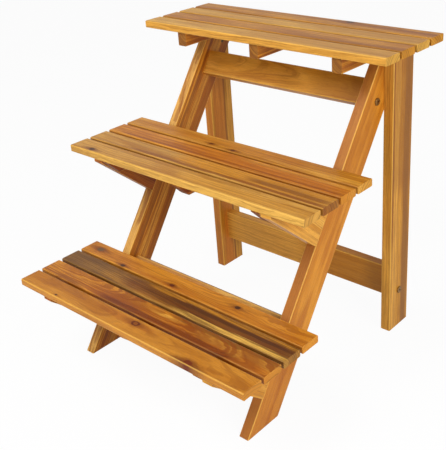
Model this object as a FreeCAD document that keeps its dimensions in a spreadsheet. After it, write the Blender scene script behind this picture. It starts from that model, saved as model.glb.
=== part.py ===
import FreeCAD, Part
import Sketcher
import math
import os

# Three-tier wooden plant stand, millimetres, +Z up.
# X runs along the slats, Y from the front (lowest shelf) to the back, the floor is Z = 0.
# Two inclined ladder legs carry three slatted shelves, and two upright legs prop them behind.

from FreeCAD import Placement, Rotation, Vector

doc = FreeCAD.newDocument("plant_stand")

# ---------------------------------------------------------------- driving dimensions
SIZES = [
    ("slat_length", 600.0),
    ("slat_width", 45.0),
    ("slat_thickness", 15.0),
    ("slat_gap", 6.0),
    ("slat_edge_round", 2.5),
    ("slats_per_shelf", 4),
    ("board_thickness", 22.0),
    ("leg_width", 70.0),
    ("leg_edge_round", 2.0),
    ("ladder_lean", 35.5),
    ("ladder_spread", 458.0),
    ("low_shelf_height", 190.0),
    ("middle_shelf_height", 426.0),
    ("top_shelf_height", 632.0),
    ("shelf_to_leg", 15.0),
    ("rear_leg_inset", 20.0),
    ("batten_width", 22.0),
    ("batten_height", 28.0),
    ("batten_edge_round", 2.0),
    ("batten_setback", 4.0),
    ("batten_overhang", 12.0),
    ("bracket_drop", 111.0),
    ("bracket_setback", 2.0),
    ("bracket_nose", 6.0),
    ("crossbar_height", 52.0),
    ("upper_crossbar_drop", 82.9),
    ("lower_crossbar_drop", 32.7),
    ("stretcher_height", 70.0),
    ("stretcher_base", 70.0),
    ("bar_edge_round", 2.0),
    ("bolt_diameter", 6.0),
    ("bolt_length", 60.0),
    ("bolt_head_diameter", 15.0),
    ("bolt_head_height", 2.5),
    ("bolt_socket_width", 4.0),
    ("bolt_socket_depth", 1.6),
    ("nut_diameter", 10.0),
    ("nut_length", 15.0),
    ("nut_reach", 32.0),
    ("dowel_diameter", 8.0),
    ("dowel_length", 30.0),
    ("screw_diameter", 4.0),
    ("screw_length", 38.0),
    ("screw_head_diameter", 8.0),
    ("screw_head_height", 2.4),
    ("hole_clearance", 0.1),
]

sheet = doc.addObject("Spreadsheet::Sheet", "Sizes")
for row, (alias, value) in enumerate(SIZES, start=1):
    sheet.set("A%d" % row, alias)
    sheet.set("B%d" % row, str(value))
    sheet.setAlias("B%d" % row, alias)
doc.recompute()


def size(alias):
    return float(sheet.get(alias))


slat_length = size("slat_length")
slat_width = size("slat_width")
slat_thickness = size("slat_thickness")
slat_pitch = slat_width + size("slat_gap")
slat_count = int(size("slats_per_shelf"))
board = size("board_thickness")
leg_width = size("leg_width")
lean = math.radians(size("ladder_lean"))
outer_x = size("ladder_spread") / 2
inner_x = outer_x - board
batten_width = size("batten_width")
batten_height = size("batten_height")
clearance = size("hole_clearance")

shelf_heights = {
    "low": size("low_shelf_height"),
    "middle": size("middle_shelf_height"),
    "top": size("top_shelf_height"),
}
shelf_depth = slat_count * slat_width + (slat_count - 1) * size("slat_gap")
underside = {name: height - slat_thickness for name, height in shelf_heights.items()}

# The ladder legs lean back: their front edge moves back by this much per millimetre of height.
run_per_rise = math.tan(lean)
leg_slice = leg_width / math.cos(lean)
legs_top = underside["top"]

# Depth of the whole stand, from the low shelf's front edge to the top shelf's back edge.
foot_offset = shelf_depth + size("shelf_to_leg") - shelf_heights["low"] * run_per_rise
stand_depth = foot_offset + legs_top * run_per_rise + leg_slice
front_y = -stand_depth / 2
foot_y = front_y + foot_offset


def leg_front(z):
    """Y of the ladder legs' front edge at a height."""
    return foot_y + z * run_per_rise


shelf_front = {
    "low": front_y,
    "middle": leg_front(shelf_heights["middle"]) - size("shelf_to_leg") - shelf_depth,
    "top": leg_front(legs_top) + leg_slice - shelf_depth,
}
shelf_back = {name: y + shelf_depth for name, y in shelf_front.items()}
rear_back_y = shelf_back["top"] - size("rear_leg_inset")
rear_front_y = rear_back_y - leg_width
rear_x = outer_x + board

# Directions of the ladder: up along a leg, and square to it from its front edge to its back.
along = Vector(0, math.sin(lean), math.cos(lean))
across = Vector(0, math.cos(lean), -math.sin(lean))


def ladder_point(x, place, depth):
    """A point of the ladder: how far along the leg's front edge, and how deep behind it."""
    return Vector(x, foot_y, 0) + along * place + across * depth


# ---------------------------------------------------------------- helpers
# Sketch vertices and axes by their numbers in a sketch.
START_INDEX = 1
END_INDEX = 2
ORIGIN_INDEX = -1
HORIZONTAL_AXIS_INDEX = -1
VERTICAL_AXIS_INDEX = -2

# Two directions count as parallel when the cosine of their angle is above this.
PARALLEL_RATIO = 0.999

# Sizes that several pieces share, as expressions of the sheet.
RUN_PER_RISE = "tan(Sizes.ladder_lean * 1 deg)"
LEG_SLICE = "Sizes.leg_width / cos(Sizes.ladder_lean * 1 deg)"
LEGS_TOP = "(Sizes.top_shelf_height - Sizes.slat_thickness)"
SHELF_DEPTH = "(Sizes.slats_per_shelf * (Sizes.slat_width + Sizes.slat_gap) - Sizes.slat_gap)"


def finish(obj, label):
    obj.Label = label
    parts.append(obj)
    return obj


def box(name, length, width, height):
    """A box whose sizes are expressions of the sheet."""
    obj = doc.addObject("Part::Box", name)
    obj.setExpression("Length", length)
    obj.setExpression("Width", width)
    obj.setExpression("Height", height)
    return obj


def long_edges(shape, direction):
    """Numbers of the straight edges that run in a direction."""
    found = []
    for number, edge in enumerate(shape.Edges, start=1):
        if edge.Curve.TypeId != "Part::GeomLine":
            continue
        if abs(edge.tangentAt(edge.FirstParameter).dot(direction)) > PARALLEL_RATIO:
            found.append(number)
    return found


def rounded(name, base, radius, direction):
    """Rounds the edges of a solid that run in a direction."""
    doc.recompute()
    obj = doc.addObject("Part::Fillet", name)
    obj.Base = base
    obj.Edges = [(number, radius, radius) for number in long_edges(base.Shape, direction)]
    return obj


def drilled(name, base, holes):
    """Cuts a list of hole shapes, given in the stand's frame, out of a solid."""
    if not holes:
        return base
    doc.recompute()
    tool = doc.addObject("Part::Feature", name + "_holes")
    tool.Shape = Part.makeCompound(holes)
    obj = doc.addObject("Part::Cut", name)
    obj.Base = base
    obj.Tool = tool
    return obj


def profile(name, corners, place):
    """A board cut to an outline in the YZ plane, one board thick along X.

    Each corner is a pair of (millimetres, expression) for Y and Z, measured from place.
    """
    body = doc.addObject("PartDesign::Body", name)
    sketch = body.newObject("Sketcher::SketchObject", name + "_outline")
    plane = [o for o in body.Origin.OriginFeatures if o.Role == "YZ_Plane"][0]
    sketch.AttachmentSupport = [(plane, "")]
    sketch.MapMode = "FlatFace"
    points = [Vector(y[0], z[0], 0) for y, z in corners]
    for start, end in zip(points, points[1:] + points[:1]):
        sketch.addGeometry(Part.LineSegment(start, end), False)
    for number in range(len(points)):
        after = (number + 1) % len(points)
        sketch.addConstraint(Sketcher.Constraint("Coincident", number, END_INDEX, after, START_INDEX))
    for number, (y, z) in enumerate(corners):
        for kind, (value, expression) in (("DistanceX", y), ("DistanceY", z)):
            if value:
                ends = (ORIGIN_INDEX, START_INDEX, number, START_INDEX)
                rule = Sketcher.Constraint(kind, *ends, value)
                index = sketch.addConstraint(rule)
                sketch.setExpression("Constraints[%d]" % index, expression)
            else:
                axis = VERTICAL_AXIS_INDEX if kind == "DistanceX" else HORIZONTAL_AXIS_INDEX
                sketch.addConstraint(Sketcher.Constraint("PointOnObject", number, START_INDEX, axis))
    pad = body.newObject("PartDesign::Pad", name + "_pad")
    pad.Profile = sketch
    pad.setExpression("Length", "Sizes.board_thickness")
    body.Placement = Placement(place, Rotation())
    doc.recompute()
    return body


def round_bar(start, direction, length, diameter):
    return Part.makeCylinder(diameter / 2, length, start, direction)


parts = []
holes = {}
fasteners = {}


def add_hole(label, shape):
    holes.setdefault(label, []).append(shape)


# ---------------------------------------------------------------- fasteners
def screw_shape(start, direction, grow=0.0):
    """A countersunk wood screw whose head lies flush at start."""
    head = size("screw_head_diameter") / 2 + grow
    shank = size("screw_diameter") / 2 + grow
    cone = Part.makeCone(head, shank, size("screw_head_height"), start, direction)
    return cone.fuse(Part.makeCylinder(shank, size("screw_length") + grow, start, direction))


def place_screw(group, start, direction, through):
    """Adds a screw to its group and bores it through the pieces that it joins."""
    fasteners.setdefault(group, []).append(screw_shape(start, direction))
    for label in through:
        add_hole(label, screw_shape(start, direction, clearance))


def place_dowel(group, middle, direction, through):
    """Adds a dowel, half in each of the two pieces that it joins."""
    length = size("dowel_length")
    diameter = size("dowel_diameter")
    start = middle - direction * (length / 2)
    fasteners.setdefault(group, []).append(round_bar(start, direction, length, diameter))
    bore_start = start - direction * clearance
    bore = round_bar(bore_start, direction, length + 2 * clearance, diameter + 2 * clearance)
    for label in through:
        add_hole(label, bore)


def bolt_shape(start, direction, grow=0.0):
    """A furniture bolt: the flat head stands on the leg at start and the shank runs inward."""
    return round_bar(start, direction, size("bolt_length") + grow, size("bolt_diameter") + 2 * grow)


def place_bolt(face_point, inward, up, nut_side, leg_label, bar_label):
    """A bolt through a leg into a bar's end, with the barrel nut that it screws into.

    up is square to the bolt, and the nut lies along nut_side, square to both.
    """
    head_height = size("bolt_head_height")
    head_top = face_point - inward * head_height
    head = round_bar(head_top, inward, head_height, size("bolt_head_diameter"))
    circles = [edge for edge in head.Edges if edge.Curve.TypeId == "Part::GeomCircle"]
    rim = [edge for edge in circles if edge.Curve.Center.distanceToPoint(head_top) < head_height / 2]
    head = head.makeFillet(head_height / 2, rim)
    # The hexagon socket: its corners, the first one again at the end to close the outline.
    socket_radius = size("bolt_socket_width") / 2 / math.cos(math.pi / SOCKET_SIDES)
    corners = []
    for step in range(SOCKET_SIDES + 1):
        angle = step * 2 * math.pi / SOCKET_SIDES
        sideways = nut_side * (socket_radius * math.sin(angle))
        corners.append(head_top + up * (socket_radius * math.cos(angle)) + sideways)
    socket = Part.Face(Part.makePolygon(corners)).extrude(inward * size("bolt_socket_depth"))
    bolt = head.fuse(bolt_shape(face_point, inward)).cut(socket)
    nut_middle = face_point + inward * (board + size("nut_reach"))
    nut_start = nut_middle - nut_side * (size("nut_length") / 2)
    nut = round_bar(nut_start, nut_side, size("nut_length"), size("nut_diameter"))
    thread = bolt_shape(face_point, inward, clearance)
    fasteners.setdefault("connector_bolts", []).append(bolt)
    fasteners.setdefault("barrel_nuts", []).append(nut.cut(thread))
    add_hole(leg_label, thread)
    add_hole(bar_label, thread)
    # The nut's bore is open on the bar's far face.
    bore_start = nut_start - nut_side * clearance
    nut_bore = round_bar(bore_start, nut_side, board, size("nut_diameter") + 2 * clearance)
    add_hole(bar_label, nut_bore)


SOCKET_SIDES = 6
SIDES = (("left", -1), ("right", 1))
leg_mid = leg_width / 2

# Where fasteners lie, as shares of the length that they hold.
LEG_SCREW_SHARES = (0.62, 0.88)
TOP_BATTEN_SCREW_SHARES = (0.14, 0.56)
BRACKET_SCREW_SHARES = (0.5, 0.8)
BRACKET_DOWEL_SHARES = (0.35, 0.75)

# The crossbars' middles, measured along the legs' front edges: the lower bar hangs below the low
# shelf's top and the upper one below the legs' top ends.
lower_crossbar_place = shelf_heights["low"] / math.cos(lean) - size("lower_crossbar_drop")
upper_crossbar_place = legs_top / math.cos(lean) - size("upper_crossbar_drop")
CROSSBARS = (("lower_crossbar", lower_crossbar_place), ("upper_crossbar", upper_crossbar_place))

# Each end has a bolt a quarter of the way up the bar and a dowel above it.
quarter = size("crossbar_height") / 4
for bar, place in CROSSBARS:
    for side, sign in SIDES:
        inward = Vector(-sign, 0, 0)
        leg = "ladder_leg_" + side
        place_bolt(ladder_point(sign * outer_x, place - quarter, leg_mid), inward, along, across, leg, bar)
        dowel_at = ladder_point(sign * inner_x, place + quarter, leg_mid)
        place_dowel("crossbar_dowels", dowel_at, inward, (leg, bar))

# The rear stretcher is held the same way between the upright legs.
stretcher_mid_z = size("stretcher_base") + size("stretcher_height") / 2
rear_mid_y = rear_front_y + leg_mid
quarter = size("stretcher_height") / 4
for side, sign in SIDES:
    inward = Vector(-sign, 0, 0)
    leg = "rear_leg_" + side
    bolt_at = Vector(sign * rear_x, rear_mid_y, stretcher_mid_z - quarter)
    place_bolt(bolt_at, inward, Vector(0, 0, 1), Vector(0, 1, 0), leg, "rear_stretcher")
    dowel_at = Vector(sign * outer_x, rear_mid_y, stretcher_mid_z + quarter)
    place_dowel("stretcher_dowels", dowel_at, inward, (leg, "rear_stretcher"))

# Screws from the ladder legs' inner faces into the upright legs, where the two overlap.
overlap_low = (rear_front_y - foot_y - leg_slice) / run_per_rise
overlap_height = legs_top - overlap_low
for side, sign in SIDES:
    for share in LEG_SCREW_SHARES:
        z = overlap_low + overlap_height * share
        y = (max(rear_front_y, leg_front(z)) + min(rear_back_y, leg_front(z) + leg_slice)) / 2
        start = Vector(sign * inner_x, y, z)
        place_screw("leg_screws", start, Vector(sign, 0, 0), ("ladder_leg_" + side, "rear_leg_" + side))


# ---------------------------------------------------------------- battens and brackets
def batten_length(shelf, column):
    """A batten's length: the top ones start behind the front edge, and the side ones of the other
    shelves run on past the last slat, over the legs."""
    if shelf == "top":
        return SHELF_DEPTH + " - Sizes.batten_setback"
    if column == "middle":
        return SHELF_DEPTH
    return SHELF_DEPTH + " + Sizes.batten_overhang"


BATTENS = (("left", -inner_x), ("middle", -batten_width / 2), ("right", inner_x - batten_width))
SHELVES = ("low", "middle", "top")
bracket_base = {shelf: underside[shelf] - size("bracket_drop") for shelf in ("low", "middle")}

for shelf in SHELVES:
    base_z = underside[shelf] - batten_height
    for column, x_from in BATTENS:
        for number in range(slat_count):
            y = shelf_front[shelf] + number * slat_pitch + slat_width / 2
            start = Vector(x_from + batten_width / 2, y, base_z)
            # The front screw stands back behind the slanted end of the batten.
            if shelf != "top" and number == 0:
                start = start + Vector(0, slat_width / 4, 0)
            through = ("%s_batten_%s" % (shelf, column), "%s_slat_%d" % (shelf, number + 1))
            place_screw(shelf + "_slat_screws", start, Vector(0, 0, 1), through)

# The side battens are screwed sideways: to the brackets in front and to the ladder legs behind.
screw_z = batten_height / 2
for side, sign in SIDES:
    x = sign * (inner_x - batten_width)
    outward = Vector(sign, 0, 0)
    for shelf in SHELVES:
        z = underside[shelf] - screw_z
        label = "%s_batten_%s" % (shelf, side)
        leg_at = leg_front(z)
        if shelf == "top":
            for share in TOP_BATTEN_SCREW_SHARES:
                at = Vector(x, leg_at + leg_slice * share, z)
                place_screw("batten_screws", at, outward, (label, "ladder_leg_" + side))
        else:
            back = shelf_back[shelf] + size("batten_overhang")
            at = Vector(x, (leg_at + back) / 2, z)
            place_screw("batten_screws", at, outward, (label, "ladder_leg_" + side))
            for share in BRACKET_SCREW_SHARES:
                at = Vector(x, shelf_front[shelf] + share * (leg_at - shelf_front[shelf]), z)
                place_screw("batten_screws", at, outward, (label, "%s_bracket_%s" % (shelf, side)))

# Dowels between each bracket and the leg behind it.
for side, sign in SIDES:
    for shelf in ("low", "middle"):
        for share in BRACKET_DOWEL_SHARES:
            z = bracket_base[shelf] + size("bracket_drop") * share
            place = z / math.cos(lean)
            at = ladder_point(sign * (outer_x - board / 2), place, 0)
            pieces = ("%s_bracket_%s" % (shelf, side), "ladder_leg_" + side)
            place_dowel("bracket_dowels", at, across, pieces)

# ---------------------------------------------------------------- legs
legs_run = legs_top * run_per_rise
ladder_outline = [
    ((0, ""), (0, "")),
    ((leg_slice, LEG_SLICE), (0, "")),
    ((legs_run + leg_slice, LEGS_TOP + " * " + RUN_PER_RISE + " + " + LEG_SLICE), (legs_top, LEGS_TOP)),
    ((legs_run, LEGS_TOP + " * " + RUN_PER_RISE), (legs_top, LEGS_TOP)),
]
for side, sign in SIDES:
    label = "ladder_leg_" + side
    foot = Vector(min(sign * outer_x, sign * inner_x), foot_y, 0)
    leg_board = profile(label + "_board", ladder_outline, foot)
    eased = rounded(label + "_eased", leg_board, size("leg_edge_round"), along)
    finish(drilled(label + "_piece", eased, holes.get(label)), label)

for side, sign in SIDES:
    label = "rear_leg_" + side
    upright = box(label + "_board", "Sizes.board_thickness", "Sizes.leg_width", LEGS_TOP)
    upright.Placement = Placement(Vector(min(sign * outer_x, sign * rear_x), rear_front_y, 0), Rotation())
    eased = rounded(label + "_eased", upright, size("leg_edge_round"), Vector(0, 0, 1))
    finish(drilled(label + "_piece", eased, holes.get(label)), label)

# ---------------------------------------------------------------- bars
bar_depth = (leg_width - board) / 2
for bar, place in CROSSBARS:
    bar_length = "Sizes.ladder_spread - 2 * Sizes.board_thickness"
    rail = box(bar + "_board", bar_length, "Sizes.board_thickness", "Sizes.crossbar_height")
    corner = ladder_point(-inner_x, place - size("crossbar_height") / 2, bar_depth)
    rail.Placement = Placement(corner, Rotation(Vector(1, 0, 0), -size("ladder_lean")))
    eased = rounded(bar + "_eased", rail, size("bar_edge_round"), Vector(1, 0, 0))
    finish(drilled(bar + "_piece", eased, holes.get(bar)), bar)

label = "rear_stretcher"
stretcher = box(label + "_board", "Sizes.ladder_spread", "Sizes.board_thickness", "Sizes.stretcher_height")
corner = Vector(-outer_x, rear_mid_y - board / 2, size("stretcher_base"))
stretcher.Placement = Placement(corner, Rotation())
eased = rounded(label + "_eased", stretcher, size("bar_edge_round"), Vector(1, 0, 0))
finish(drilled(label + "_piece", eased, holes.get(label)), label)

# ---------------------------------------------------------------- brackets
# Each bracket fills the corner in front of the leg, under the slats, and its lower edge slants
# from a short nose behind the first slat's front edge down to the leg.
drop = size("bracket_drop")
BRACKET_REACH = (
    SHELF_DEPTH + " + Sizes.shelf_to_leg - Sizes.bracket_setback - Sizes.slat_thickness * " + RUN_PER_RISE
)
reach = shelf_depth + size("shelf_to_leg") - size("bracket_setback") - slat_thickness * run_per_rise
bracket_outline = [
    ((0, ""), (drop - size("bracket_nose"), "Sizes.bracket_drop - Sizes.bracket_nose")),
    ((reach - drop * run_per_rise, BRACKET_REACH + " - Sizes.bracket_drop * " + RUN_PER_RISE), (0, "")),
    ((reach, BRACKET_REACH), (drop, "Sizes.bracket_drop")),
    ((0, ""), (drop, "Sizes.bracket_drop")),
]
for shelf in ("low", "middle"):
    for side, sign in SIDES:
        label = "%s_bracket_%s" % (shelf, side)
        nose_y = shelf_front[shelf] + size("bracket_setback")
        corner = Vector(min(sign * outer_x, sign * inner_x), nose_y, bracket_base[shelf])
        plate = profile(label + "_board", bracket_outline, corner)
        finish(drilled(label + "_piece", plate, holes.get(label)), label)

# ---------------------------------------------------------------- battens
for shelf in SHELVES:
    start_y = shelf_front[shelf] + (size("batten_setback") if shelf == "top" else 0)
    top_z = underside[shelf]
    low_z = top_z - batten_height
    for column, x_from in BATTENS:
        label = "%s_batten_%s" % (shelf, column)
        strip_length = batten_length(shelf, column)
        strip = box(label + "_strip", "Sizes.batten_width", strip_length, "Sizes.batten_height")
        strip.Placement = Placement(Vector(x_from, start_y, low_z), Rotation())
        eased = rounded(label + "_eased", strip, size("batten_edge_round"), Vector(0, 1, 0))
        cuts = list(holes.get(label, []))
        if shelf != "top":
            # The front end is sawn back under the first slat at 45 degrees.
            corners = [
                Vector(x_from, start_y, low_z),
                Vector(x_from, start_y + batten_height, low_z),
                Vector(x_from, start_y, top_z),
                Vector(x_from, start_y, low_z),
            ]
            cuts.append(Part.Face(Part.makePolygon(corners)).extrude(Vector(batten_width, 0, 0)))
        finish(drilled(label + "_piece", eased, cuts), label)

# ---------------------------------------------------------------- slats
for shelf in SHELVES:
    for number in range(slat_count):
        label = "%s_slat_%d" % (shelf, number + 1)
        slat = box(label + "_board", "Sizes.slat_length", "Sizes.slat_width", "Sizes.slat_thickness")
        y = shelf_front[shelf] + number * slat_pitch
        slat.Placement = Placement(Vector(-slat_length / 2, y, underside[shelf]), Rotation())
        eased = rounded(label + "_eased", slat, size("slat_edge_round"), Vector(1, 0, 0))
        finish(drilled(label + "_piece", eased, holes.get(label)), label)

# ---------------------------------------------------------------- fastener groups
for group, shapes in fasteners.items():
    obj = doc.addObject("Part::Feature", group)
    obj.Shape = Part.makeCompound(shapes)
    finish(obj, group)

doc.recompute()

# ---------------------------------------------------------------- checks and files
for obj in doc.Objects:
    if "Invalid" in obj.State or "Error" in obj.State:
        raise RuntimeError("%s did not compute: %s" % (obj.Name, obj.State))
os.makedirs("parts", exist_ok=True)
for obj in parts:
    shape = obj.Shape
    if shape.isNull() or not shape.isValid():
        raise RuntimeError("%s has no valid shape" % obj.Label)
    shape.exportStep("parts/%s.step" % obj.Label)
    print("%-24s solids %2d  volume %10.1f mm3" % (obj.Label, len(shape.Solids), shape.Volume))
print("stand depth %.1f mm, %d nodes" % (stand_depth, len(parts)))
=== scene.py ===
# %% [markdown]
# # A three-tier plant stand in oiled acacia
# Two inclined ladder legs carry three slatted shelves, and two upright legs prop them behind. Every
# board is already modelled at its real size, so this lesson is about wood: it gives each board its
# own piece of an acacia log, with rings, dark heartwood, pale sapwood and knots, and oils it.

# %% Load the stand
import math
import bmesh
import bpy
from mathutils import Matrix, Vector

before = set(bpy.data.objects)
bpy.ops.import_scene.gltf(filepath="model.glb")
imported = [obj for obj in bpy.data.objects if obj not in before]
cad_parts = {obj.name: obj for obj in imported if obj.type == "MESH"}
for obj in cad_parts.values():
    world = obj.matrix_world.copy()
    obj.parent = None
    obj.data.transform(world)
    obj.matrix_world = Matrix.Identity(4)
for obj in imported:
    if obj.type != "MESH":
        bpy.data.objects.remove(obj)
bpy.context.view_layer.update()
print("boards and fasteners:", len(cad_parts))

# %% [markdown]
# Colours are easiest to judge as the 0 to 255 values of a colour picker, but a shader works with
# linear light, so one helper turns the first into the second.

# %% Colours
def tint(red, green, blue):
    """A colour picker's red, green and blue as linear light, with full alpha."""
    share = [value / 255 for value in (red, green, blue)]
    light = [c / 12.92 if c <= 0.04045 else ((c + 0.055) / 1.055) ** 2.4 for c in share]
    return (*light, 1.0)


print("a mid honey tone in linear light:", [round(c, 3) for c in tint(200, 140, 60)])

# %% [markdown]
# A wood pattern is mostly arithmetic on a board's own coordinates. Written as nodes it soon becomes
# hard to read, so a small class wraps a node's socket and lets Python's operators add the nodes.

# %% Sockets that take part in arithmetic
class Wire:
    """A node's output that can be added, multiplied and compared like a number."""

    def __init__(self, finish, socket):
        self.finish = finish
        self.socket = socket

    def math(self, operation, *values):
        return self.finish.node("ShaderNodeMath", {"operation": operation}, dict(enumerate(values)))

    def __add__(self, other):
        return self.math("ADD", self, other)

    def __sub__(self, other):
        return self.math("SUBTRACT", self, other)

    def __rsub__(self, other):
        return self.math("SUBTRACT", other, self)

    def __mul__(self, other):
        return self.math("MULTIPLY", self, other)

    def __truediv__(self, other):
        return self.math("DIVIDE", self, other)

    def __pow__(self, other):
        return self.math("POWER", self, other)

    def __abs__(self):
        return self.math("ABSOLUTE", self)

    __radd__ = __add__
    __rmul__ = __mul__

    def root(self):
        return self.math("SQRT", self)

    def exponent(self):
        return self.math("EXPONENT", self)

    def fraction(self):
        return self.math("FRACT", self)

    def outlet(self, name):
        """Another output of the node that this wire comes from."""
        return Wire(self.finish, self.socket.node.outputs[name])

    def rise(self, start, end):
        """0 below start, 1 above end and a smooth slope between them."""
        sockets = {"Value": self, "From Min": start, "From Max": end}
        return self.finish.node("ShaderNodeMapRange", {"interpolation_type": "SMOOTHSTEP"}, sockets)

    def fall(self, start, end):
        return 1 - self.rise(start, end)


class Finish:
    """A material's or a world's nodes, added one call at a time."""

    def __init__(self, owner):
        owner.use_nodes = True
        self.owner = owner
        self.tree = owner.node_tree
        self.tree.nodes.clear()

    def node(self, kind, settings=None, sockets=None, output=0):
        """Adds a node: its settings first, then the values or links of its sockets."""
        made = self.tree.nodes.new(kind)
        for name, value in (settings or {}).items():
            setattr(made, name, value)
        for name, value in (sockets or {}).items():
            if isinstance(value, Wire):
                self.tree.links.new(value.socket, made.inputs[name])
            else:
                made.inputs[name].default_value = value
        return Wire(self, made.outputs[output]) if made.outputs else None

    def vector(self, x, y, z):
        return self.node("ShaderNodeCombineXYZ", None, {"X": x, "Y": y, "Z": z})

    def noise(self, x, y, z, detail=2.0):
        """Cloudy values from 0 to 1 whose grains are about one unit across."""
        sockets = {"Vector": self.vector(x, y, z), "Scale": 1.0, "Detail": detail}
        return self.node("ShaderNodeTexNoise", {"noise_dimensions": "3D"}, sockets)

    def blend(self, below, above, share):
        """One colour over another by a share: 6, 7 and output 2 are a Mix node's colours."""
        sockets = {0: share, 6: below, 7: above}
        return self.node("ShaderNodeMix", {"data_type": "RGBA"}, sockets, 2)

    def close(self, kind, shader):
        """Ends the tree with its output node and gives back the material or world."""
        self.node(kind, None, {"Surface": shader})
        return self.owner


trial = bpy.data.materials.new("trial")
print("a finish starts with no nodes:", len(Finish(trial).tree.nodes))
bpy.data.materials.remove(trial)

# %% [markdown]
# Each board needs a frame of its own: u along the grain, v across its width and w through its
# thickness, in millimetres from its middle. A Mapping node of type Texture takes the board's place
# and turn and gives back exactly these coordinates, so a knot can be placed with a ruler.

# %% Board frames
LEAN = math.radians(35.5)
UP_LADDER = Vector((0, math.sin(LEAN), math.cos(LEAN)))
THROUGH_LADDER = Vector((0, math.cos(LEAN), -math.sin(LEAN)))
X, Y, Z = Vector((1, 0, 0)), Vector((0, 1, 0)), Vector((0, 0, 1))


def board_frame(name, along, across):
    """A board's middle, turn and half sizes in millimetres, from its own vertices."""
    through = along.cross(across)
    points = [vertex.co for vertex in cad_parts[name].data.vertices]
    middle = Vector((0, 0, 0))
    half = []
    for direction in (along, across, through):
        reach = [point.dot(direction) for point in points]
        middle += direction * (min(reach) + max(reach)) / 2
        half.append((max(reach) - min(reach)) / 2 * 1000)
    turn = Matrix((along, across, through)).transposed().to_euler("XYZ")
    return {"middle": middle, "turn": turn, "half": half, "along": along, "across": across}


trial = board_frame("low_slat_1", X, Y)
print("a slat's half sizes:", [round(value, 1) for value in trial["half"]])

# %% [markdown]
# Acacia's tones run from pale sapwood through honey and russet to a heartwood that is nearly
# chocolate. A board takes three of them, and its streaks and knots take the rest.

# %% Tones of acacia
TONES = {
    "honey": (tint(228, 166, 66), tint(200, 134, 36), tint(144, 80, 20)),
    "golden": (tint(218, 146, 44), tint(188, 114, 24), tint(134, 66, 12)),
    "russet": (tint(200, 118, 36), tint(164, 84, 20), tint(106, 40, 8)),
    "tan": (tint(212, 158, 72), tint(184, 126, 46), tint(136, 84, 28)),
    "olive": (tint(176, 122, 46), tint(132, 86, 26), tint(82, 46, 14)),
    "ochre": (tint(210, 146, 44), tint(180, 114, 24), tint(128, 72, 14)),
    "rose": (tint(190, 130, 72), tint(156, 98, 46), tint(112, 64, 28)),
    "straw": (tint(226, 178, 96), tint(204, 150, 70), tint(156, 106, 44)),
    "amber": (tint(224, 172, 76), tint(202, 145, 52), tint(154, 101, 32)),
    "toffee": (tint(204, 137, 46), tint(186, 117, 32), tint(132, 70, 16)),
}
SAPWOOD_AND_HIGHLIGHT = tint(236, 184, 84)
HEARTWOOD_AND_SHADE = tint(86, 30, 8)
UMBER = tint(54, 26, 10)
ASH = tint(100, 72, 38)
print("tones:", ", ".join(TONES))

# %% [markdown]
# The rings are what makes wood look like wood. A log's rings are cylinders round its pith, and a
# board is a slice of it, so the distance from a pith line outside the board gives cathedral arches
# on the face and straight lines on the edge from one formula. Knots push that distance outwards,
# and the grain then flows round them as it does in a real board.

# %% Distance from the pith and from a knot
def knot_distance(finish, face, knot, seed, stretch):
    """Distance from a knot's middle in knot radii, stretched along the grain."""
    u, v = face
    wobble = (finish.noise(u * 0.22, v * 0.22, seed + 9.0) - 0.5) * 0.6
    from_u = (u - knot["along"]) / (stretch * knot["radius"])
    from_v = (v - knot["across"]) / knot["radius"]
    return (from_u ** 2 + from_v ** 2).root() + wobble


def growth(finish, place, look, knots):
    """Distance from the pith in millimetres, with the grain pushed round the knots."""
    u, v, w = place
    across, below, slope, wander = look["pith"]
    seed = look["seed"]
    sway_v = (finish.noise(u * 0.0042 + seed, v * 0.012, w * 0.012) - 0.5) * wander
    sway_w = (finish.noise(u * 0.0036, v * 0.012 + seed, w * 0.012) - 0.5) * wander
    ripple = (finish.noise(u * 0.03, v * 0.08, w * 0.08 + seed) - 0.5) * 2.6
    from_v = v - across + u * slope + sway_v
    from_w = w - below + u * slope + sway_w
    radius = (from_v ** 2 + from_w ** 2).root() + ripple
    for distance, knot in knots:
        radius = radius + (distance * -0.62).exponent() * (knot["radius"] * 1.7)
    return radius


KNOT_LENGTH = 1.45
TAIL_LENGTH = 4.5
print("a knot's length and its dark tail's, in widths:", KNOT_LENGTH, TAIL_LENGTH)

# %% [markdown]
# A shader starts from the point that it colours. In the board's own frame that point is u, v and w,
# and two more numbers say how far the surface there faces along the board, as end grain does, and
# across it, as its long edges do.

# %% Where a point lies on its board
MILLIMETRE = (0.001, 0.001, 0.001)


def point_on_board(finish, board):
    """The point's u, v and w, and how far its surface faces along and across the board."""
    sockets = {
        "Vector": finish.node("ShaderNodeTexCoord", None, None, "Object"),
        "Location": board["middle"],
        "Rotation": board["turn"],
        "Scale": MILLIMETRE,
    }
    local = finish.node("ShaderNodeMapping", {"vector_type": "TEXTURE"}, sockets)
    u = finish.node("ShaderNodeSeparateXYZ", None, {0: local}, "X")
    normal = finish.node("ShaderNodeTexCoord", None, None, "Normal")
    settings = {"operation": "DOT_PRODUCT"}
    lengthways, sideways = (
        finish.node("ShaderNodeVectorMath", settings, {0: normal, 1: board[axis]}, "Value")
        for axis in ("along", "across")
    )
    return (u, u.outlet("Y"), u.outlet("Z")), lengthways, sideways


print("one unit of u, v and w in metres:", MILLIMETRE[0])

# %% [markdown]
# The grain is made of layers, from broad to fine. Bands are a ring or two wide. A ring rises slowly
# from pale earlywood and ends sharply in dark latewood, and figure and lines divide it again.
# Clouds, fibres and pores lie along the board and don't follow the rings at all.

# %% Layers of the grain
RING_SHARPNESS = 3.5


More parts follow.
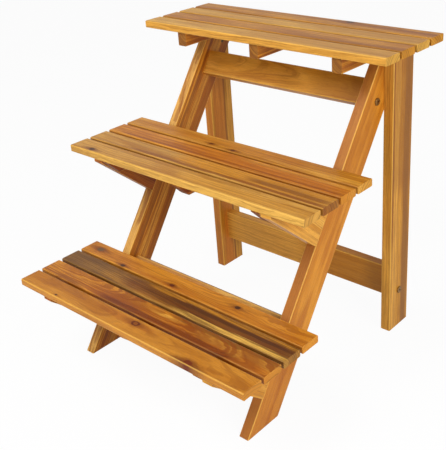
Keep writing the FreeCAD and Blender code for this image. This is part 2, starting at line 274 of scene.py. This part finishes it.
def grain_layers(finish, place, radius, look):
    """Each layer of the grain as values from 0 to 1."""
    u, v, w = place
    seed = look["seed"]
    uneven = finish.noise(radius * 0.05, seed, 0.5, 1.0) * 14
    ring = ((radius + uneven) / look["rings"]).fraction() ** RING_SHARPNESS
    return {
        "ring": ring * finish.noise(radius * 0.11, u * 0.002, seed + 3.0).rise(0.3, 0.65),
        "band": finish.noise(radius * 0.075, u * 0.0016, seed + 20.0, 1.0),
        "figure": finish.noise(radius * 0.36, u * 0.004, seed + 11.0, 2.0),
        "cloud": finish.noise(u * 0.008, v * 0.03, w * 0.03 + seed + 7.0),
        "lines": finish.noise(radius * 0.7, u * 0.006, seed + 40.0, 1.0).rise(0.54, 0.6),
        "fibre": finish.noise(u * 0.03, v * 0.9, w * 0.9 + seed, 3.0),
        "pores": finish.noise(u * 0.09, v * 2.2 + seed, w * 2.2, 1.0).rise(0.6, 0.72),
    }


print("latewood is the last part of a ring, sharpened by a power of", RING_SHARPNESS)

# %% [markdown]
# Colour goes on in the same order, each layer over the last. Streaks of heartwood or sapwood lie
# under the fine grain, as they do in the tree, so the grain still shows through them.

# %% Colour of the grain
STREAK_FADE = 25


def streak_mask(finish, face, figure, streak, seed):
    """Where a streak lies: a strip along the grain that sways, with edges frayed by the figure."""
    u, v = face
    start, end, half_width = streak["start"], streak["end"], streak["half_width"]
    drift = (finish.noise(u * 0.011, seed, 0.5) - 0.5) * streak["sway"]
    away = abs(v - streak["across"] + drift) + (figure - 0.5) * (half_width * 1.8)
    mask = away.fall(half_width * 0.7, half_width * 1.15)
    mask = mask * u.rise(start - STREAK_FADE, start + STREAK_FADE)
    mask = mask * u.fall(end - STREAK_FADE, end + STREAK_FADE)
    return mask * streak["strength"]


def grain_colour(finish, face, sideways, grain, look):
    """The wood's colour before its knots and edges."""
    pale, main, deep = TONES[look["tone"]]
    depth, band, figure = look["depth"], grain["band"], grain["figure"]
    colour = finish.blend(pale, main, (band * 0.6 + grain["cloud"] * 0.6).rise(0.46, 0.72))
    colour = finish.blend(colour, deep, band.rise(0.5, 0.72) * depth)
    for streak in look["streaks"]:
        mask = streak_mask(finish, face, figure, streak, look["seed"] + 1.7)
        colour = finish.blend(colour, streak["tone"], mask)
    # On the slats, sides paint a highlight on the lit front edge and shade in the gaps.
    for tone, side, strength in look["sides"]:
        colour = finish.blend(colour, tone, (sideways * side).rise(0.6, 0.95) * strength)
    colour = finish.blend(colour, deep, figure.rise(0.5, 0.64) * (0.15 + 0.7 * depth))
    colour = finish.blend(colour, deep, grain["ring"] * (0.3 + 0.7 * depth))
    colour = finish.blend(colour, deep, grain["lines"] * (0.2 + 0.7 * depth))
    colour = finish.blend(colour, deep, grain["fibre"].rise(0.46, 0.66) * (0.25 + 0.3 * depth))
    return finish.blend(colour, HEARTWOOD_AND_SHADE, grain["pores"] * 0.35)


print("a streak's ends fade over", 2 * STREAK_FADE, "mm")

# %% [markdown]
# A knot has a dark heart, or only a dark ring where the branch was alive, and a halo that trails
# along the grain. Last come the edges: end grain drinks more oil, and the long edges, which a maker
# calls arrises, get a pale painted highlight.

# %% Knots, end grain and edges
ARRIS_WIDTH = 2.6
ARRIS_CORE = 0.6


def knot_colour(finish, colour, face, knots, look):
    """The colour with its knots on it."""
    deep = TONES[look["tone"]][2]
    for distance, knot in knots:
        tail = knot_distance(finish, face, knot, look["seed"], TAIL_LENGTH).fall(0.5, 1.6)
        colour = finish.blend(colour, deep, distance.fall(0.7, 2.2) * knot["halo"] * 0.7)
        colour = finish.blend(colour, HEARTWOOD_AND_SHADE, tail * knot["halo"] * 0.6)
        if knot["solid"]:
            core = distance.fall(0.7, 1.05)
        else:
            core = distance.rise(0.5, 0.65) * distance.fall(0.9, 1.1)
        colour = finish.blend(colour, knot["tone"], core * 0.9)
    return colour


def edge_colour(finish, colour, place, half, end, ring, look):
    """The colour with its oily end grain and a painted highlight on its arrises."""
    pale = TONES[look["tone"]][0]
    colour = finish.blend(colour, look.get("end_tone", pale), end * 0.5)
    colour = finish.blend(colour, UMBER, end * ring * 0.7)
    # Painted highlight: the arrises are painted pale where light catches them.
    near_v, near_w = (
        abs(place[axis]).rise(half[axis] - ARRIS_WIDTH, half[axis] - ARRIS_CORE) for axis in (1, 2)
    )
    return finish.blend(colour, SAPWOOD_AND_HIGHLIGHT, near_v * near_w * look["arris"])


# The pale arris is a painted highlight.
print("an arris is rubbed over", ARRIS_WIDTH, "mm")

# %% [markdown]
# The finish puts all of that on a satin oiled surface. Latewood is a little harder, so it also
# shines more and stands a hair proud, which the bump follows, while pores and knots lie lower.

# %% The oiled acacia finish
PLAIN_BOARD = {"rings": 5.5, "depth": 0.5, "arris": 0.6, "knots": [], "streaks": [], "sides": []}
SATIN_OIL = {"Specular IOR Level": 0.2, "Coat Weight": 0.04, "Coat Roughness": 0.28}


def oiled_acacia(name, board, look):
    """A board's own piece of the log, oiled."""
    finish = Finish(bpy.data.materials.new(name))
    place, lengthways, sideways = point_on_board(finish, board)
    face = place[:2]
    seed = look["seed"]
    knots = [(knot_distance(finish, face, knot, seed, KNOT_LENGTH), knot) for knot in look["knots"]]
    grain = grain_layers(finish, place, growth(finish, place, look, knots), look)
    ring, fibre = grain["ring"], grain["fibre"]
    end = abs(lengthways).rise(0.5, 0.8)

    colour = grain_colour(finish, face, sideways, grain, look)
    colour = knot_colour(finish, colour, face, knots, look)
    colour = edge_colour(finish, colour, place, board["half"], end, ring, look)

    height = fibre * 0.5 + ring * 0.35 - grain["pores"] * 0.7
    for distance, _ in knots:
        height = height - distance.fall(0.3, 1.0) * 0.6
    bump = {"Strength": 0.35, "Distance": 0.0004, "Height": height}
    sockets = {
        "Base Color": colour,
        "Roughness": 0.44 + fibre * 0.12 - ring * 0.08 + end * 0.2,
        "Normal": finish.node("ShaderNodeBump", None, bump),
        **SATIN_OIL,
    }
    shader = finish.node("ShaderNodeBsdfPrincipled", None, sockets)
    return finish.close("ShaderNodeOutputMaterial", shader)


def dress(name, along, across, look):
    """Gives a board its own finish."""
    board = board_frame(name, along, across)
    material = oiled_acacia("acacia_" + name, board, {**PLAIN_BOARD, **look})
    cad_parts[name].material_slots[0].material = material


print("the finish is ready for", sum("slat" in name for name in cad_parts), "slats")

# %% [markdown]
# Every board now gets a look of its own. Its pith says where the log's middle lay, how much the
# board leans against it and how far it wanders. Rings are in millimetres, and depth is how strongly
# the dark grain shows, nearly not at all below 0. Knots and streaks are placed in millimetres from
# the board's middle, along it and across it, so they can be read off a real board with a ruler.

# %% Knots and streaks
def knot(along, across, radius, tone, halo, solid=True):
    """One knot: halo is how dark it is round about, and one that isn't solid is only a ring."""
    places = {"along": along, "across": across, "radius": radius}
    return {**places, "tone": tone, "halo": halo, "solid": solid}


def streak(tone, across, half_width, sway, start, end, strength):
    """One streak along the grain, from start to end, that sways by so many millimetres."""
    shape = {"across": across, "half_width": half_width, "sway": sway}
    return {"tone": tone, **shape, "start": start, "end": end, "strength": strength}


def stain_and_shade(tone, start, end, strength):
    """A streak over the board's whole width, for a real stain and for painted shade."""
    return streak(tone, 0, 60, 4, start, end, strength)


print("what a stain is made of:", ", ".join(stain_and_shade(UMBER, 0, 100, 0.5)))

# %% [markdown]
# No two boards may show the same piece of wood, so each group of boards starts at its own place in
# the pattern, and each board of the group lies a step further on.

# %% Places in the pattern
LOG_PLACES = {"slats": (3.1, 7.3), "legs": (91.7, 5.9), "bars": (140.2, 6.1), "under": (170.4, 3.7)}


def place_in_log(group, number):
    """Where in the pattern a board of this group starts."""
    first, step = LOG_PLACES[group]
    return first + step * number


print("the second slat starts at", place_in_log("slats", 1))

# %% [markdown]
# The low shelf has the liveliest wood: two dark boards between two pale ones full of knots. The
# middle shelf has broad russet bands, and the top one is straight and even.

# %% Slats
SLATS = {
    "low_slat_1": {
        "tone": "toffee", "pith": (4, -46, 0.03, 26), "rings": 8.0, "depth": 0.1,
        "knots": [
            knot(-191, -17, 2.6, UMBER, 0.3),
            knot(12, 9, 6.5, HEARTWOOD_AND_SHADE, 0.6, False),
            knot(172, -18, 7.5, TONES["russet"][2], 0.9),
        ],
        "streaks": [
            streak(TONES["russet"][1], 9, 9, 10, -90, 60, 0.5),
            streak(HEARTWOOD_AND_SHADE, -21, 4, 6, 130, 215, 0.5),
        ],
    },
    "low_slat_2": {
        "tone": "golden", "pith": (10, -26, 0.05, 30), "rings": 6.5, "depth": 0.7,
        "streaks": [
            streak(TONES["russet"][1], -8, 18, 8, -150, 300, 0.55),
            streak(HEARTWOOD_AND_SHADE, -17, 5, 6, -260, -180, 0.6),
            streak(HEARTWOOD_AND_SHADE, -15, 8, 6, -120, 230, 0.85),
            streak(TONES["honey"][0], 8, 6, 8, 5, 70, 0.75),
            streak(TONES["olive"][0], 8, 15, 8, 110, 330, 0.6),
            streak(TONES["olive"][2], 17, 6, 6, 60, 300, 0.6),
        ],
    },
    "low_slat_3": {
        "tone": "olive", "pith": (-44, -18, 0.02, 16), "rings": 5.0, "depth": 0.5,
        "streaks": [
            streak(ASH, 4, 24, 8, -310, -180, 0.5),
            streak(TONES["russet"][2], 0, 16, 8, -120, 300, 0.5),
            streak(TONES["honey"][1], 16, 5, 6, -60, 300, 0.85),
            streak(UMBER, 5, 4, 8, 0, 300, 0.6),
            streak(SAPWOOD_AND_HIGHLIGHT, -16, 6, 4, 40, 300, 0.9),
        ],
    },
    "low_slat_4": {
        "tone": "golden", "pith": (30, -50, 0.02, 18), "rings": 7.0, "depth": 0.2,
        "knots": [
            knot(-262, 1, 7.0, ASH, 0.8),
            knot(-170, -17, 4.5, UMBER, 0.8),
            knot(-29, -12, 4.5, HEARTWOOD_AND_SHADE, 0.8),
            knot(129, 4, 5.0, UMBER, 0.7),
        ],
        "streaks": [streak(TONES["russet"][1], -14, 5, 6, -200, 20, 0.5)],
    },
    "middle_slat_1": {
        "tone": "tan", "pith": (44, -20, 0.01, 12), "rings": 6.5, "depth": 0.2,
        "knots": [knot(-243, -13, 5.5, UMBER, 0.9)],
        "streaks": [
            streak(TONES["honey"][0], -4, 12, 4, 0, 300, 0.5),
            streak(SAPWOOD_AND_HIGHLIGHT, -23, 5, 1, -230, 300, 0.6),
        ],
    },
    "middle_slat_2": {
        "tone": "tan", "pith": (-44, -20, 0.02, 12), "rings": 6.0, "depth": 0.3,
        "end_tone": TONES["russet"][2],
        "streaks": [
            streak(TONES["golden"][0], 4, 18, 8, -60, 300, 0.75),
            streak(TONES["russet"][2], -15, 4, 5, -180, 300, 0.7),
            streak(HEARTWOOD_AND_SHADE, 0, 7, 8, 120, 300, 0.65),
        ],
    },
    "middle_slat_3": {
        "tone": "golden", "pith": (50, -16, 0.01, 12), "rings": 5.5, "depth": 0.3,
        "streaks": [
            streak(TONES["russet"][0], 0, 22, 6, -80, 300, 0.6),
            streak(TONES["russet"][2], -14, 3, 5, -260, 300, 0.6),
            streak(TONES["russet"][1], 9, 3, 5, -300, 40, 0.5),
            streak(TONES["honey"][0], 14, 5, 5, 60, 300, 0.6),
        ],
    },
    "middle_slat_4": {
        "tone": "honey", "pith": (52, -30, 0.03, 14), "rings": 6.0, "depth": 0.3,
        "knots": [knot(-57, -12, 4.0, HEARTWOOD_AND_SHADE, 0.8), knot(4, -16, 4.0, HEARTWOOD_AND_SHADE, 0.8)],
        "streaks": [streak(TONES["golden"][1], 0, 14, 6, -160, 160, 0.6)],
    },
    "top_slat_1": {
        "tone": "amber", "pith": (46, -26, 0.02, 12), "rings": 6.0, "depth": 0.35,
        "streaks": [streak(TONES["honey"][0], -23, 6, 2, -300, 300, 0.7)],
    },
    "top_slat_2": {"tone": "ochre", "pith": (-48, -22, 0.01, 12), "rings": 5.5, "depth": 0.6},
    "top_slat_3": {"tone": "amber", "pith": (50, -20, 0.01, 12), "rings": 5.5, "depth": 0.5},
    "top_slat_4": {
        "tone": "ochre", "pith": (-46, -36, 0.02, 14), "rings": 6.0, "depth": 0.7,
        "knots": [knot(98, 14, 7.0, UMBER, 0.8)],
    },
}
print("slats with knots:", sum("knots" in look for look in SLATS.values()))

# %% [markdown]
# A slat's long edges differ. The front one of each shelf is seen in full light, so it gets a pale
# painted highlight, while those in the gaps get painted shade and a faint painted highlight on
# their arrises. A side of -1 is the front edge and 1 is the back one.

# %% Slats' edges
# Painted highlight: pale tones painted on each shelf's front edge, where light falls full on it.
FRONT_HIGHLIGHTS = {"low": TONES["golden"][0], "middle": SAPWOOD_AND_HIGHLIGHT, "top": TONES["honey"][0]}
FRONT_ARRIS, GAP_ARRIS = 0.6, 0.15
# Painted shade: how dark the slats' sides in the gaps are painted.
GAP_SHADE = 0.38


def slat_sides(name):
    """Paints a highlight on the front slat's front edge and shade on the sides in the gaps."""
    shelf, _, place = name.split("_")
    front = (FRONT_HIGHLIGHTS[shelf], -1, 0.5) if place == "1" else (HEARTWOOD_AND_SHADE, -1, GAP_SHADE)
    back = [] if place == "4" else [(HEARTWOOD_AND_SHADE, 1, GAP_SHADE)]
    return [front, *back]


for number, (name, look) in enumerate(SLATS.items()):
    # Painted highlight: strong on the front slat's lit arrises, faint on those in the gaps.
    highlighted = FRONT_ARRIS if name.endswith("1") else GAP_ARRIS
    edges = {"sides": slat_sides(name), "arris": highlighted}
    dress(name, X, Y, {"seed": place_in_log("slats", number), **edges, **look})
print("slats dressed:", len(SLATS))

# %% [markdown]
# The legs show two faces each, and they differ: the ladder legs' front edges are paler than their
# sides. The grain runs the length of the leg, so the pattern's frame leans with the ladder.

# %% Legs
LEGS = {
    "ladder_leg_left": {
        "tone": "golden", "pith": (50, -14, 0.01, 12), "rings": 6.5, "depth": 0.5,
        "sides": [(TONES["straw"][0], -1, 0.75)],
        "streaks": [
            streak(HEARTWOOD_AND_SHADE, -18, 4, 8, -400, 400, 0.55),
            streak(TONES["honey"][0], 2, 8, 10, -400, 400, 0.5),
            streak(TONES["russet"][2], 26, 7, 8, -400, 400, 0.5),
        ],
    },
    "ladder_leg_right": {
        "tone": "golden", "pith": (-60, 40, 0.01, 14), "rings": 7.5, "depth": -0.15,
        "sides": [(TONES["rose"][1], -1, 0.65)],
        "streaks": [
            # Painted shadow: the top of the leg is darkened where the top shelf shades it.
            stain_and_shade(TONES["russet"][2], 300, 420, 0.5),
            stain_and_shade(TONES["russet"][1], -420, -230, 0.35),
        ],
    },
    "rear_leg_left": {
        # Painted light: the honey tone and bright russet streak are paler than the wood, in the
        # shelves' shade.
        "tone": "honey", "pith": (56, -20, 0.01, 12), "rings": 6.0, "depth": 0.1,
        "knots": [knot(-120, 14, 4.0, UMBER, 0.6)],
        "sides": [(TONES["russet"][0], -1, 0.7)],
        "streaks": [
            streak(TONES["russet"][0], -10, 18, 8, -400, 400, 0.75),
            streak(TONES["russet"][2], 10, 3, 8, -400, 400, 0.6),
            streak(TONES["honey"][0], 24, 7, 6, -400, 400, 0.5),
        ],
    },
    "rear_leg_right": {
        "tone": "ochre", "pith": (-54, 30, 0.01, 12), "rings": 6.5, "depth": 0.15,
        # Painted light: the front face is set paler than the wood, for light it lacks under the
        # shelves.
        "sides": [(TONES["honey"][0], -1, 0.5)],
        "streaks": [
            streak(TONES["honey"][0], -20, 9, 4, -400, 400, 0.75),
            streak(TONES["russet"][2], -32, 2, 2, -400, 400, 0.6),
            streak(TONES["olive"][1], 18, 12, 6, -400, 400, 0.7),
            # Painted shade: the leg darkens towards its top, under the shelves.
            stain_and_shade(TONES["ochre"][2], 20, 400, 0.4),
            streak(TONES["honey"][0], -32, 14, 2, -400, -100, 0.7),
        ],
    },
}
for number, (name, look) in enumerate(LEGS.items()):
    leaning = name.startswith("ladder")
    along, across = (UP_LADDER, THROUGH_LADDER) if leaning else (Z, Y)
    dress(name, along, across, {"seed": place_in_log("legs", number), **look})
print("legs dressed:", len(LEGS))

# %% [markdown]
# The two crossbars lie in the ladder's slope, and the stretcher stands upright between the rear
# legs. All three run sideways, so their grain runs along X.

# %% Crossbars and stretcher
BARS = {
    "upper_crossbar": {
        "tone": "honey", "pith": (16, -44, 0.04, 22), "rings": 7.0, "depth": 0.1,
        # Painted shade: the right part of the bar is darkened where it lies in shade.
        "streaks": [stain_and_shade(TONES["olive"][1], 90, 300, 0.35)],
    },
    "lower_crossbar": {
        "tone": "straw", "pith": (40, -40, 0.02, 14), "rings": 6.5, "depth": 0.4,
        "knots": [knot(150, 12, 6.0, UMBER, 0.8)],
        "streaks": [
            streak(TONES["rose"][0], 10, 40, 8, -300, 20, 0.7),
            streak(UMBER, 0, 40, 8, 175, 300, 0.7),
        ],
    },
    "rear_stretcher": {
        "tone": "honey", "pith": (60, -30, 0.03, 16), "rings": 7.0, "depth": 0.1,
        "streaks": [
            # Painted light: the honey tone and the pale left half are set paler than the wood,
            # behind the shelves.
            streak(TONES["honey"][0], 0, 50, 8, -400, 0, 1.0),
            streak(TONES["ochre"][1], 0, 50, 8, 60, 400, 0.7),
            stain_and_shade(TONES["olive"][1], 175, 400, 0.35),
        ],
    },
}
for number, (name, look) in enumerate(BARS.items()):
    across = Z if name == "rear_stretcher" else UP_LADDER
    dress(name, X, across, {"seed": place_in_log("bars", number), **look})
print("bars dressed:", len(BARS))

# %% [markdown]
# Under the shelves, the brackets' grain follows their long slanting edge, which is the strong way
# to cut them, and the battens' grain runs from front to back. The left brackets are russet wood,
# darkened with painted shade under the shelf, and the right ones come from the log's outside and
# keep a strip of sapwood.

# %% Brackets and battens
BRACKET_GRAIN = Vector((0, 0.751, -0.660)).normalized()
BRACKET_ACROSS = Vector((0, 0.660, 0.751)).normalized()
# Painted shade: the left brackets sit in shade under the shelves, so they are painted dark.
RUSSET_IN_PAINTED_SHADE = {"tone": "russet", "depth": 0.45, "streaks": [stain_and_shade(HEARTWOOD_AND_SHADE, -200, 200, 0.5)]}
SAPWOOD_STRIP = streak(SAPWOOD_AND_HIGHLIGHT, -26, 9, 4, -200, 200, 0.5)
BRACKETS = {"left": RUSSET_IN_PAINTED_SHADE, "right": {"tone": "honey", "depth": 0.1, "streaks": [SAPWOOD_STRIP]}}
BATTEN_TONES = {"low": "russet", "middle": "russet", "top": "golden"}

under = [name for name in sorted(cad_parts) if "_bracket_" in name or "_batten_" in name]
for number, name in enumerate(under):
    shelf, kind, side = name.split("_")
    if kind == "bracket":
        along, across = BRACKET_GRAIN, BRACKET_ACROSS
        look = {"pith": (50, -30, 0.01, 14), **BRACKETS[side]}
    else:
        along, across = Y, X
        look = {"tone": BATTEN_TONES[shelf], "pith": (14, -22, 0.02, 14), "end_tone": ASH}
    dress(name, along, across, {"seed": place_in_log("under", number), **look})
print("brackets and battens dressed:", len(under))

# %% [markdown]
# The connector bolts are bronze plated and have dulled a little. The nuts, screws and dowels are
# nearly out of sight, but some of them show from behind, so they get finishes too: a yellowed
# zinc, and a plain light wood.

# %% Fasteners
def metal(name, base, worn, roughness):
    """Plated metal: cloudy tarnish and fine scratches from handling."""
    finish = Finish(bpy.data.materials.new(name))
    where = finish.node("ShaderNodeTexCoord", None, None, "Object")
    sockets = {"Vector": where, "Scale": (1000, 1000, 1000)}
    local = finish.node("ShaderNodeMapping", None, sockets)
    x = finish.node("ShaderNodeSeparateXYZ", None, {0: local}, "X")
    y, z = x.outlet("Y"), x.outlet("Z")
    cloud = finish.noise(x * 0.35, y * 0.35, z * 0.35, 3.0)
    scratch = finish.noise(x * 0.8, y * 6.0, z * 6.0, 1.0)
    colour = finish.blend(base, worn, (cloud * 0.8 + scratch * 0.4).rise(0.5, 0.85))
    height = cloud * 0.4 + scratch
    bump = {"Strength": 0.2, "Distance": 0.0001, "Height": height}
    sockets = {
        "Base Color": colour,
        "Metallic": 1.0,
        "Roughness": cloud * 0.25 + roughness,
        "Normal": finish.node("ShaderNodeBump", None, bump),
    }
    shader = finish.node("ShaderNodeBsdfPrincipled", None, sockets)
    return finish.close("ShaderNodeOutputMaterial", shader)


bronze = metal("bronze_plate", tint(150, 112, 62), tint(84, 60, 36), 0.28)
zinc = metal("yellowed_zinc", tint(104, 88, 60), tint(60, 50, 36), 0.42)
METALS = {"bolts": bronze, "nuts": zinc, "screws": zinc}
DOWEL = {"tone": "tan", "seed": 260.0, "pith": (30, -20, 0.0, 8), "depth": 0.2}

for name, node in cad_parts.items():
    kind = name.split("_")[-1]
    if kind in METALS:
        node.material_slots[0].material = METALS[kind]
    elif kind == "dowels":
        dress(name, X, Y, DOWEL)
print("metals:", len(set(METALS.values())))

# %% [markdown]
# The stand is shown on plain white. The floor is a real surface, so it keeps the stand's soft
# shadow and throws light back under the shelves, but to the camera it is mostly its own white.

# %% Floor and surroundings
FLOOR_REACH = 7.0
DIRECT_SHARE = 0.95
WHITE = (1.0, 1.0, 1.0, 1.0)
PALE_GREY = (0.84, 0.84, 0.84, 1.0)


def seen_directly(finish):
    """1 for light that reaches the camera straight, by a mirror or through glass, else 0."""
    camera = finish.node("ShaderNodeLightPath", None, None, "Is Camera Ray")
    return camera + camera.outlet("Is Glossy Ray") + camera.outlet("Is Transmission Ray")


floor_mesh = bpy.data.meshes.new("floor")
grid = bmesh.new()
bmesh.ops.create_grid(grid, x_segments=1, y_segments=1, size=FLOOR_REACH)
grid.to_mesh(floor_mesh)
grid.free()
floor = bpy.data.objects.new("floor", floor_mesh)
bpy.context.scene.collection.objects.link(floor)

paint = Finish(bpy.data.materials.new("white_floor"))
matt = paint.node("ShaderNodeBsdfDiffuse", None, {"Color": PALE_GREY})
plain = paint.node("ShaderNodeEmission", None, {"Color": WHITE, "Strength": 1.0})
share = seen_directly(paint) * DIRECT_SHARE
mixed = paint.node("ShaderNodeMixShader", None, {0: share, 1: matt, 2: plain})
floor_mesh.materials.append(paint.close("ShaderNodeOutputMaterial", mixed))

air = Finish(bpy.data.worlds.new("white_studio"))
dim = air.node("ShaderNodeBackground", None, {"Color": WHITE, "Strength": 0.3})
bright = air.node("ShaderNodeBackground", None, {"Color": WHITE, "Strength": 1.0})
mixed = air.node("ShaderNodeMixShader", None, {0: seen_directly(air), 1: dim, 2: bright})
bpy.context.scene.world = air.close("ShaderNodeOutputWorld", mixed)
print("floor side in metres:", 2 * FLOOR_REACH)

# %% [markdown]
# Soft boxes light the stand as a catalogue would: a large one above and in front, a weaker one from
# the right so that the outer faces stay warm, and a low one in front for the slats' edges.

# %% Lights
STAND_MIDDLE = Vector((0.0, 0.0, 0.3))


def soft_box(name, place, side, watts):
    """A square lamp that points at the stand's middle."""
    lamp = bpy.data.lights.new(name, "AREA")
    lamp.shape = "SQUARE"
    lamp.size = side
    lamp.energy = watts
    lamp_object = bpy.data.objects.new(name, lamp)
    lamp_object.location = place
    lamp_object.rotation_euler = (STAND_MIDDLE - Vector(place)).to_track_quat("-Z", "Y").to_euler()
    bpy.context.scene.collection.objects.link(lamp_object)


soft_box("key_light", (-0.5, -1.5, 2.6), side=1.3, watts=52)
soft_box("side_light", (2.3, -0.5, 1.1), side=1.1, watts=34)
soft_box("front_light", (0.4, -2.6, 0.7), side=1.2, watts=12)

# %% [markdown]
# The camera stands in front of the stand and to its right, and looks down at it with a slight roll.
# Its place, its turn and its focal length were fitted to the stand's edges in the photograph, and
# the lens is shifted a little, because the picture's middle isn't the middle of the view.

# %% Camera
YAW, PITCH, ROLL = math.radians(41.992), math.radians(24.677), math.radians(-3.407)
EYE = Vector((1.00486, -1.02790, 1.00614))
PICTURE = (446, 450)
FOCAL_PIXELS = 801.26
LENS_MIDDLE = (255, 190)

back = Vector((math.sin(YAW) * math.cos(PITCH), -math.cos(YAW) * math.cos(PITCH), math.sin(PITCH)))
right = Vector((math.cos(YAW), math.sin(YAW), 0))
up = back.cross(right)
side = right * math.cos(ROLL) + up * math.sin(ROLL)
top = up * math.cos(ROLL) - right * math.sin(ROLL)
lens = bpy.data.cameras.new("camera")
lens.lens = FOCAL_PIXELS / PICTURE[1] * lens.sensor_width
lens.shift_x = (PICTURE[0] / 2 - LENS_MIDDLE[0]) / PICTURE[1]
lens.shift_y = (LENS_MIDDLE[1] - PICTURE[1] / 2) / PICTURE[1]
lens.clip_start = 0.05
camera = bpy.data.objects.new("camera", lens)
camera.matrix_world = Matrix((side, top, back)).transposed().to_4x4()
camera.location = EYE
bpy.context.scene.collection.objects.link(camera)
bpy.context.scene.camera = camera
bpy.context.scene.view_settings.view_transform = "Standard"
print("lens in millimetres:", round(lens.lens, 1))
